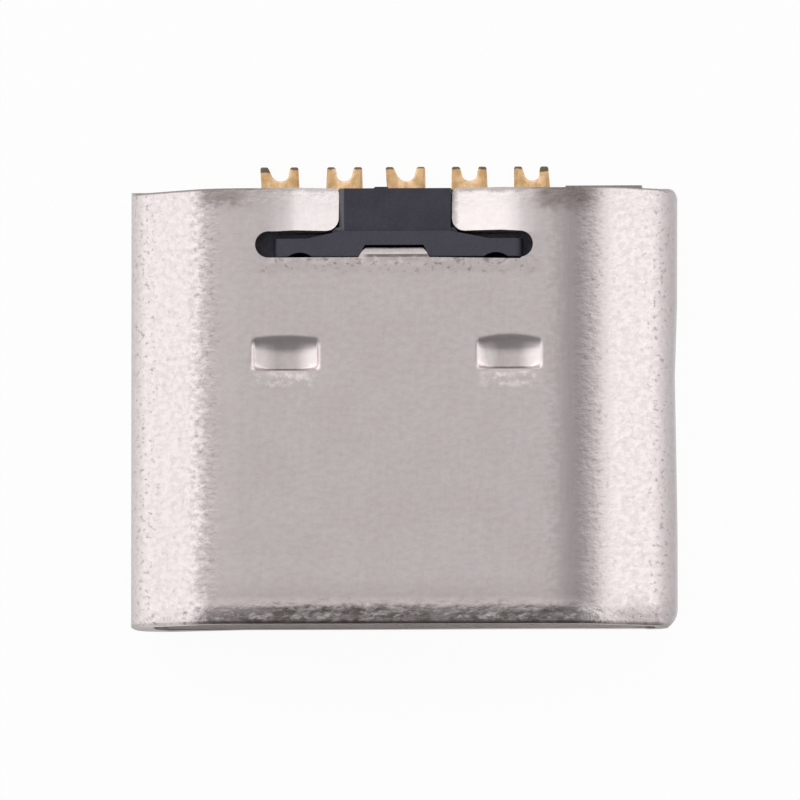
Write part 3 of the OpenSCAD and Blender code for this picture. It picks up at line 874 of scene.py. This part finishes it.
def noise(place, scale, detail=3, roughness=0.55, stretch=None):
    if stretch:
        mapping = new_node("Mapping")
        mapping.inputs["Scale"].default_value = stretch
        link(place, mapping.inputs["Vector"])
        place = mapping.outputs["Vector"]
    node = new_node("TexNoise")
    node.inputs["Scale"].default_value = scale
    node.inputs["Detail"].default_value = detail
    node.inputs["Roughness"].default_value = roughness
    link(place, node.inputs["Vector"])
    return node.outputs["Fac"]


def between(value, low, high, to_low=0.0, to_high=1.0):
    node = new_node("MapRange")
    node.interpolation_type = "SMOOTHSTEP"
    node.inputs["From Min"].default_value = low
    node.inputs["From Max"].default_value = high
    node.inputs["To Min"].default_value = to_low
    node.inputs["To Max"].default_value = to_high
    put(value, node.inputs["Value"])
    return node.outputs["Result"]


def math_of(operation, first, second=0.0):
    node = new_node("Math")
    node.operation = operation
    put(first, node.inputs[0])
    put(second, node.inputs[1])
    return node.outputs["Value"]


def mix_colours(share, first, second):
    node = new_node("Mix")
    node.data_type = "RGBA"
    put(share, node.inputs[0])
    put(first, node.inputs[6])
    put(second, node.inputs[7])
    return node.outputs[2]


def bump(height, distance, below=None):
    node = new_node("Bump")
    node.inputs["Strength"].default_value = 1
    node.inputs["Distance"].default_value = distance
    put(height, node.inputs["Height"])
    if below is not None:
        link(below, node.inputs["Normal"])
    return node.outputs["Normal"]


# %% Helpers for masks
def most(*values):
    """The largest of several values."""
    largest = values[0]
    for value in values[1:]:
        largest = math_of("MAXIMUM", largest, value)
    return largest


def times(*values):
    product = values[0]
    for value in values[1:]:
        product = math_of("MULTIPLY", product, value)
    return product


def window(value, start, full, last, end):
    """Rises from 0 to 1 between start and full, and falls back between last and end."""
    return times(between(value, start, full), between(value, end, last))


def shaken(value, pattern, reach):
    """Moves a value to and fro with a noise pattern, so that a mask made from it has a rough edge."""
    return math_of("ADD", value, between(pattern, 0.25, 0.75, -reach, reach))


def axes(place):
    split = new_node("SeparateXYZ")
    link(place, split.inputs["Vector"])
    return [split.outputs[name] for name in "XYZ"]


# %% Colours of the plate, and of the painted sheen, highlights and shade on it
SATIN, SATIN_CLOUD = (0.535, 0.484, 0.481, 1), (0.515, 0.464, 0.46, 1)
RUB_AND_SHEEN, RUB_AND_SHEEN_GRAIN, PAINTED_HIGHLIGHT = (0.9, 0.818, 0.815, 1), (0.8, 0.724, 0.722, 1), (0.96, 0.89, 0.885, 1)
SHADE, STRIPE, WALL_GREY = (0.34, 0.295, 0.29, 1), (0.36, 0.32, 0.32, 1), (0.42, 0.37, 0.375, 1)
CREASE, CORNER_SHADE, APRON_GREY = (0.12, 0.1, 0.1, 1), (0.16, 0.14, 0.14, 1), (0.2, 0.18, 0.18, 1)
SPECK, SLOT_SPECK, STAIN_AND_SHADE = (0.3, 0.26, 0.25, 1), (0.25, 0.2, 0.18, 1), (0.25, 0.21, 0.2, 1)
GRIME_AND_SHADE, LIP_SHADE, CUT_DARK = (0.17, 0.14, 0.13, 1), (0.09, 0.07, 0.066, 1), (0.07, 0.055, 0.052, 1)

# %% Patterns and places on the sheet
from types import SimpleNamespace


def sheet_marks(place, wear):
    """Patterns in the plate, and masks for the places on the sheet that have a look of their own."""
    at = SimpleNamespace(place=place, wear=wear)
    at.x, at.y, at.z = axes(place)
    at.side = math_of("ABSOLUTE", at.x)
    off = math_of("ABSOLUTE", math_of("SUBTRACT", at.side, DIMPLE_X))
    at.off = times(off, between(at.x, -1, 1, LEFT_DIMPLE[0], RIGHT_DIMPLE[0]))
    set_back = between(at.x, -1, 1, LEFT_DIMPLE[1], RIGHT_DIMPLE[1])
    at.pressed_y = math_of("SUBTRACT", at.y, set_back)
    at.upper = between(at.z, 1.0, 1.4, 0.0, wear)

    # Patterns: the soft peel of drawn metal, lumps along the rim, specks and glints
    at.peel = noise(place, 11, 3, 0.55, stretch=(0.78, 1.25, 0.78))
    at.lumps = noise(place, 7.5, 4, 0.6, stretch=(0.8, 1.1, 1))
    at.spots = between(noise(place, 15, 2, 0.5, stretch=(0.85, 1.15, 0.85)), 0.55, 0.72)
    at.glints = between(noise(place, 9, 3, 0.55), 0.42, 0.7)

    # Places: slopes, bends, the shoulder of the side walls and the front rim
    at.rough_x = shaken(at.x, at.peel, 0.075)
    rough_side = most(math_of("SUBTRACT", at.rough_x, 0.06), times(at.rough_x, -1.0))
    at.slope = times(between(rough_side, 2.55, 2.91), at.upper)
    at.bend = times(window(at.side, 2.3, 2.6, 2.72, 3.0), at.upper)
    rough_wall = shaken(at.side, at.lumps, 0.1)
    at.shoulder = times(window(rough_wall, 3.25, 3.5, 3.64, 3.75), wear)
    wider_left = between(at.x, -2.3, -1.5, 0.085, 0.0)
    at.rim_y = math_of("ADD", shaken(at.y, at.lumps, 0.085), wider_left)
    at.rim = times(between(at.rim_y, -2.66, -2.81), between(at.y, -2.974, -2.966), at.upper)
    return at


# %% Satin flats, slopes with worn grain under a painted sheen, and tabs with a painted highlight
def plate_tone(at):
    cloud = noise(at.place, 1.7, 3)
    tone = mix_colours(between(cloud, 0.3, 0.7), SATIN, SATIN_CLOUD)
    tone = mix_colours(between(at.peel, 0.35, 0.7, 0.0, 0.12), tone, SHADE)
    # Painted shade: the face gets darker toward the front rim
    tone = mix_colours(between(at.y, -2.3, -2.66, 0.0, 0.28 * at.wear), tone, SHADE)
    # The slopes keep their grain, but their much lighter colour is a painted sheen
    slope_rub_and_sheen = mix_colours(between(at.peel, 0.36, 0.66), RUB_AND_SHEEN, RUB_AND_SHEEN_GRAIN)
    tone = mix_colours(at.slope, tone, slope_rub_and_sheen)
    # Painted highlight on the retention tabs and, faintly, on the front tab
    reach = math_of("SUBTRACT", at.side, between(at.x, -1, 1, 0.0, 0.17))
    at.tab = times(between(at.y, 2.35, 2.372), between(reach, 1.85, 1.25),
                   between(at.x, -1, 1, 1.0, 0.85), at.upper)
    front_tab = times(window(at.y, 2.062, 2.075, 2.2, 2.3), between(at.side, 0.54, 0.48),
                      at.upper, 0.08)
    return mix_colours(most(at.tab, front_tab), tone, PAINTED_HIGHLIGHT)


# %% Painted highlights on the ends of the dimples, and painted glints on the burr in front of them
def dimple_tone(at, tone):
    ends = times(window(at.off, 0.1, 0.36, 0.46, 0.51),
                 window(at.pressed_y, 0.46, 0.52, 0.8, 0.88), at.upper)
    burr_glints = times(window(at.y, 0.22, 0.3, 0.44, 0.48), between(at.off, 0.55, 0.3),
                 at.glints, at.upper, 0.5)
    return mix_colours(most(ends, burr_glints), tone, RUB_AND_SHEEN)


# %% Shade along the right bend, on the walls and in the creases
def shade_tone(at, tone):
    stripe = times(window(at.rough_x, 1.98, 2.25, 2.45, 2.62), at.upper, 0.45)
    tone = mix_colours(stripe, tone, STRIPE)
    walls = most(between(at.x, 3.4, 3.72), between(at.x, -3.5, -3.66, 0.0, 0.4))
    tone = mix_colours(times(walls, 0.75 * at.wear), tone, WALL_GREY)
    soft = times(window(at.y, 1.92, 2.03, 2.05, 2.066), 0.4)
    sharp = window(at.y, 2.02, 2.035, 2.06, 2.078)
    crease = times(most(soft, sharp), between(at.side, 0.5, 0.38), at.upper, 0.9)
    groove = times(window(at.pressed_y, 0.47, 0.481, 0.495, 0.51),
                   between(at.off, 0.42, 0.25), at.upper, 0.6)
    return mix_colours(most(crease, groove), tone, CREASE)


# %% [markdown]
# ## Wear, dirt, and painted light and shade
# Plugs scrape the front rim, so dirt stays in its hollows, while its high spots are rubbed and carry painted
# glints. The edge of the slot is dull and speckled, with painted glints, and the rear edge is stained.
# Painted shade darkens the right corner and the lip of the rim. Each mark is a mask on x, y and z in
# millimetres. Where a mark has a ragged border, noise is added to the place before the mask is made.

# %% Edge of the slot: darker, with specks and painted glints
def slot_tone(at, tone):
    rough_y = shaken(at.y, at.lumps, 0.03)
    edge = times(window(rough_y, 1.76, 1.9, 2.02, 2.06), between(at.side, 2.05, 1.75),
                 at.upper)
    tone = mix_colours(times(edge, 0.22), tone, SHADE)
    # Painted glints just in front of the slot
    tone = mix_colours(times(edge, at.glints, between(at.y, 1.9, 1.97), 0.22), tone, RUB_AND_SHEEN)
    return mix_colours(times(edge, at.spots, 0.75), tone, SLOT_SPECK)


# %% Specks where the metal was worked, the dirty rim, and painted glints on its high spots
def rim_tone(at, tone):
    amount = most(times(at.slope, 0.2), times(at.bend, 0.5), times(at.shoulder, 0.65),
                  times(at.rim, at.slope, 0.75), 0.06 * at.wear)
    tone = mix_colours(times(at.spots, amount), tone, SPECK)
    flat_rim = times(at.rim, window(at.x, -2.9, -1.7, 2.05, 2.6))
    patches = noise(at.place, 9, 3, 0.55, stretch=(0.7, 1.25, 1))
    ridge = window(at.y, -2.93, -2.9, -2.86, -2.8)
    cleaner = most(times(ridge, 0.25), times(window(at.x, -0.2, 0.4, 1.5, 1.9), 0.3))
    dirty = times(flat_rim, between(patches, 0.4, 0.6, 0.0, 0.9),
                  math_of("SUBTRACT", 1.0, cleaner))
    tone = mix_colours(dirty, tone, GRIME_AND_SHADE)
    # Painted glints on the high spots of the rim, strongest along its ridge
    glinting_high_spots = between(noise(at.place, 11.5, 3, 0.55, stretch=(0.75, 1.3, 1)), 0.48, 0.7)
    return mix_colours(times(at.rim, glinting_high_spots, most(0.4, ridge), 0.9), tone, RUB_AND_SHEEN)


# %% Painted shade at the right corner of the rim, a lighter patch beside it, and a painted dark reflection on its lip
def lip_tone(at, tone):
    # Painted shade on the right front corner, and darker painted shade under it
    corner = times(between(at.x, 2.75, 3.15), between(at.rim_y, -2.5, -2.85),
                   between(at.z, 0.1, 0.4, 0.0, 0.45 * at.wear))
    tone = mix_colours(corner, tone, SHADE)
    under = times(between(at.x, 3.25, 3.5), between(at.y, -2.84, -2.95),
                  window(at.z, 0.2, 0.4, 0.9, 1.3), 0.8)
    tone = mix_colours(under, tone, CORNER_SHADE)
    # A lighter patch near the right of the rim
    lighter_patch = times(window(at.x, 2.4, 2.55, 2.75, 2.95), between(at.y, -2.66, -2.85),
                    at.upper, 0.75)
    tone = mix_colours(lighter_patch, tone, RUB_AND_SHEEN)
    # Painted dark reflection along the rolled lip of the rim
    reach = most(between(at.side, 3.1, 2.6, 0.45, 1.0), between(at.x, 2.9, 3.2, 0.0, 0.85))
    behind_cut = most(between(at.y, -2.974, -2.968), between(at.x, 2.4, 1.4), 0.6)
    lip = times(between(at.y, -2.92, -2.95), reach, behind_cut, at.wear)
    return mix_colours(times(lip, 0.75), tone, LIP_SHADE)


# %% Cut edge above the mouth, and painted light and painted shade on the board face inside it
def mouth_tone(at, tone):
    front_cut = times(between(at.y, -2.95, -2.965), between(at.z, 0.6, 0.9),
                      between(at.x, 1.6, 2.5, 0.65, 0.45), between(at.x, -2.6, -1.8))
    tone = mix_colours(front_cut, tone, CUT_DARK)
    # Painted light on the board face just inside the mouth
    face_light = times(between(at.y, -2.975, -2.955), between(at.x, 0.9, 2.2, 0.275, 0.55))
    edge_light = times(between(at.y, -2.955, -2.975), between(at.x, -0.6, 1.8))
    board_face = times(between(at.z, 0.45, 0.33), between(at.side, 3.35, 3.25))
    lit = times(board_face, between(at.y, -2.8, -2.87), most(face_light, edge_light))
    tone = mix_colours(lit, tone, PAINTED_HIGHLIGHT)
    # Painted shade along the front edge of the board face, toward the left
    shaded_board_edge = times(board_face, between(at.y, -2.965, -2.974),
                   between(at.x, -0.4, -1.4), 0.55)
    return mix_colours(shaded_board_edge, tone, GRIME_AND_SHADE)


# %% Apron and stains of the rear edge, and dirt with painted shade along the rear edges of the tabs
def rear_tone(at, tone):
    apron = times(between(at.y, 3.03, 3.06), between(at.z, 0.5, 0.35), 0.7)
    tone = mix_colours(apron, tone, APRON_GREY)
    rear_y = shaken(at.y, at.lumps, 0.07)
    left = times(window(at.x, -2.8, -2.6, -2.3, -1.9), between(rear_y, 2.7, 2.84), 0.66)
    right = times(window(at.x, 1.8, 2.05, 2.5, 2.85), between(rear_y, 2.6, 2.86), 0.85)
    edge_y = math_of("SUBTRACT", at.y, between(at.x, 2.3, 3.1, 0.0, SKEW))
    edge = times(between(edge_y, 2.94, 2.962), between(at.side, 1.6, 2.0), 0.85)
    # Dirt and painted shade along the rounded rear edges of the tabs
    tab_edge_dirt_and_shade = times(between(shaken(at.y, at.lumps, 0.03), 2.9, 2.962),
                     between(at.side, 2.0, 1.6), between(at.x, -1, 1, 0.42, 0.6))
    tab_side = times(window(shaken(at.x, at.lumps, 0.03), 0.6, 0.65, 0.77, 0.84),
                     between(at.y, 2.38, 2.42), 0.5)
    stained = times(most(left, right, edge, tab_edge_dirt_and_shade, tab_side), at.upper)
    return mix_colours(stained, tone, STAIN_AND_SHADE)


# %% Grain, and the whole finish
SCRATCH_DEPTH, PEEL_DEPTH, BEATEN_DEPTH = 0.000004, 0.000014, 0.000026


def grain(at):
    """Fine scratches, the peel of drawn metal and the beaten edges, one bump over the other."""
    worked = most(0.12, times(at.slope, 0.6), times(at.bend, 0.9),
                  times(at.shoulder, 0.55))
    scratches = noise(at.place, 5, 4, 0.6, stretch=(2.5, 0.5, 1))
    drawn = bump(times(at.peel, worked), PEEL_DEPTH, below=bump(scratches, SCRATCH_DEPTH))
    edges = most(between(at.y, -2.6, -2.8), between(at.y, 2.6, 2.95, 0.0, 0.6))
    return bump(times(at.lumps, times(edges, at.upper)), BEATEN_DEPTH, below=drawn)


def nickel(material, rough, wear):
    """Nickel plate; wear, and the painted shade and highlights that go with it, are less on the inside and on
    the cut edges.
    """
    surface, place = fresh_nodes(material)
    at = sheet_marks(place, wear)
    tone = plate_tone(at)
    for add_marks in (dimple_tone, shade_tone, slot_tone, rim_tone, lip_tone, mouth_tone, rear_tone):
        tone = add_marks(at, tone)
    link(tone, surface.inputs["Base Color"])
    surface.inputs["Metallic"].default_value = 1
    shine = between(at.peel, 0.3, 0.7, rough - 0.03, rough + 0.04)
    link(math_of("ADD", shine, times(at.tab, 0.1)), surface.inputs["Roughness"])
    link(grain(at), surface.inputs["Normal"])


nickel(bpy.data.materials["worn_nickel"], 0.33, 1.0)
nickel(bpy.data.materials["inner_nickel"], 0.38, 0.35)
nickel(bpy.data.materials["sheared_nickel"], 0.42, 0.6)
print("nickel finishes:", [slot.name for slot in shell.material_slots])

# %% [markdown]
# ## Black moulding
# The plastic is a blue-black, filled with fine glass fibre that shows as a faint speckle. It is dull, so it
# takes most of its look from its own colour and a broad, soft shine. Painted light makes the top of the rib a
# little paler, and a painted highlight lights the left edge of the key.

# %% Glass-filled plastic
plastic = bpy.data.materials.new("blue_black_plastic")
surface, place = fresh_nodes(plastic)
flecks = noise(place, 22, 3, 0.6, stretch=(1, 0.6, 1))
cloud = noise(place, 3, 2)
tone = mix_colours(between(cloud, 0.3, 0.7), (0.021, 0.019, 0.036, 1), (0.03, 0.028, 0.047, 1))
tone = mix_colours(between(flecks, 0.62, 0.75), tone, (0.06, 0.057, 0.075, 1))
x, y, z = axes(place)
# Painted light: the top of the rib, which faces up, is made paler
lit_rib_top = times(between(z, 2.372, 2.388), 0.45)
tone = mix_colours(lit_rib_top, tone, (0.062, 0.058, 0.08, 1))
# Painted highlight on the left chamfer of the key, lit from the left
lit_key_chamfer = times(window(x, -0.9, -0.795, -0.745, -0.73), between(y, 2.39, 2.41),
               between(z, 2.28, 2.3), 0.8)
tone = mix_colours(lit_key_chamfer, tone, (0.13, 0.13, 0.145, 1))
link(tone, surface.inputs["Base Color"])
link(between(flecks, 0.3, 0.7, 0.46, 0.6), surface.inputs["Roughness"])
link(bump(flecks, 0.000006), surface.inputs["Normal"])
moulding.data.materials.clear()
moulding.data.materials.append(plastic)
print("plastic on", moulding.name)

# %% [markdown]
# ## Gold plate
# The strips are plated before they are cut from their carrier, so the very ends of the tails are bare, dark
# alloy. A mask along the tail turns gold to bare metal in the last few hundredths of a millimetre. Painted
# shade makes the gold browner toward both long edges of a tail.

# %% Gold with bare ends
gold = bpy.data.materials.new("gold_plate")
surface, place = fresh_nodes(gold)
x, y = axes(place)[:2]
mottle = noise(place, 7, 4)
streak = noise(place, 5, 3, stretch=(4, 0.6, 1))
tone = mix_colours(between(mottle, 0.35, 0.65), (0.94, 0.64, 0.385, 1), (0.66, 0.42, 0.21, 1))
middle = math_of("PINGPONG", math_of("ADD", x, TAIL_PITCH / 2), TAIL_PITCH / 2)
# Painted shade: browner toward both long edges of each tail
shaded_tail_edges = times(between(middle, 0.36, 0.2), between(y, 2.9, 3.0), 0.45)
tone = mix_colours(shaded_tail_edges, tone, (0.42, 0.24, 0.08, 1))
tip = math_of("ADD", y, between(mottle, 0.3, 0.7, -0.012, 0.012))
outer = between(math_of("ABSOLUTE", x), 1.8, 1.86, 0.0, 0.045)
bare = between(math_of("ADD", tip, outer), 3.38, 3.395)
tone = mix_colours(bare, tone, (0.16, 0.12, 0.09, 1))
link(tone, surface.inputs["Base Color"])
surface.inputs["Metallic"].default_value = 1
link(between(streak, 0.3, 0.7, 0.22, 0.34), surface.inputs["Roughness"])
link(bump(streak, 0.000006), surface.inputs["Normal"])
for strip in strips:
    strip.data.materials.clear()
    strip.data.materials.append(gold)
print("gold on", len(strips), "strips")

# %% [markdown]
# ## Floor and light
# A pale floor carries a soft shadow. The light is a studio tent: even from above, bright at both sides and
# at the rear, dark at the front, with one darker gap to the right, which draws the stripe along the right
# bend. A strip light just behind the top brightens what leans to the rear, such as the tabs. The camera
# sees the tent as plain white.

# %% Floor
leave_edit_mode()
bpy.ops.mesh.primitive_plane_add(size=1.2, location=(0, 0, -0.00002))
floor = bpy.context.object
floor.name = "floor"
paper = bpy.data.materials.new("pale_floor")
paper.use_nodes = True
tree = paper.node_tree
tree.nodes.clear()
output = new_node("OutputMaterial")
matt = new_node("BsdfDiffuse")
matt.inputs["Color"].default_value = (0.9, 0.9, 0.9, 1)
bright = new_node("Emission")
bright.inputs["Color"].default_value = (1, 1, 1, 1)
path = new_node("LightPath")
blend = new_node("MixShader")
rays = [path.outputs[f"Is {kind} Ray"] for kind in ("Camera", "Glossy", "Transmission")]
link(times(most(*rays), 0.95), blend.inputs["Fac"])
link(matt.outputs["BSDF"], blend.inputs[1])
link(bright.outputs["Emission"], blend.inputs[2])
link(blend.outputs["Shader"], output.inputs["Surface"])
floor.data.materials.append(paper)
print("floor:", floor.name, "with", paper.name)

# %% Studio tent
world = bpy.data.worlds.new("studio_tent")
bpy.context.scene.world = world
world.use_nodes = True
tree = world.node_tree
tree.nodes.clear()
output = new_node("OutputWorld")
tent = new_node("Background")
white = new_node("Background")
white.inputs["Color"].default_value = (1, 1, 1, 1)
where = new_node("TexCoord")
x, y = axes(where.outputs["Generated"])[:2]
ramp = new_node("ValToRGB")
# Direction from the left (-1) to the right (1), and how bright the tent is there
LEVELS = ((-1, 0.86), (-0.9, 0.77), (-0.6, 0.71), (0, 0.7), (0.1, 0.65), (0.3, 0.49), (0.5, 0.38),
          (0.7, 0.52), (0.85, 0.68), (0.97, 0.84), (1, 0.86))
while len(ramp.color_ramp.elements) < len(LEVELS):
    ramp.color_ramp.elements.new(0.5)
for element, (direction, level) in zip(ramp.color_ramp.elements, LEVELS):
    element.position = direction / 2 + 0.5
    element.color = (level, level, level, 1)
link(math_of("ADD", times(x, 0.5), 0.5), ramp.inputs["Fac"])
front = between(y, -0.6, -0.03, 0.4, 1.0)
strip_light = times(window(y, 0.08, 0.25, 0.45, 0.7), 0.24)
rear = math_of("ADD", strip_light, between(y, 0.4, 0.8, 0.0, 0.1))
link(math_of("ADD", times(ramp.outputs["Color"], front), rear), tent.inputs["Color"])
tent.inputs["Strength"].default_value = 1.36
path = new_node("LightPath")
blend = new_node("MixShader")
link(path.outputs["Is Camera Ray"], blend.inputs["Fac"])
link(tent.outputs["Background"], blend.inputs[1])
link(white.outputs["Background"], blend.inputs[2])
link(blend.outputs["Shader"], output.inputs["Surface"])
print("tent:", len(LEVELS), "levels from left to right")

# %% [markdown]
# ## Camera
# The photograph looks almost straight down on the narrow face. The lower edges show a little at the right
# and at the front, which gives the tilt in both directions. The distance is long, so that the sides stay
# nearly parallel, and the lens is worked out from the size of the socket in the picture.

# %% Set the camera
from mathutils import Matrix, Vector

TARGET = Vector((0.034, 0.072, TOP)) * 0.001
TILT_RIGHT, TILT_FRONT, CAMERA_FAR = math.radians(3.2), math.radians(3.0), 0.2
PIXELS_PER_M, HALF_PICTURE = 73300, 400
AWAY = Vector((math.tan(TILT_RIGHT), -math.tan(TILT_FRONT), 1)).normalized()
bpy.ops.object.camera_add(location=TARGET + AWAY * CAMERA_FAR)
camera = bpy.context.object
across_view = Vector((0, 1, 0)).cross(AWAY).normalized()
camera.rotation_euler = Matrix((across_view, AWAY.cross(across_view), AWAY)).transposed().to_euler()
camera.data.sensor_width = 36
camera.data.lens = camera.data.sensor_width / 2 * CAMERA_FAR * PIXELS_PER_M / HALF_PICTURE
camera.data.clip_start = 0.01
bpy.context.scene.camera = camera
bpy.context.scene.view_settings.view_transform = "Standard"
print("lens:", round(camera.data.lens, 1), "mm")
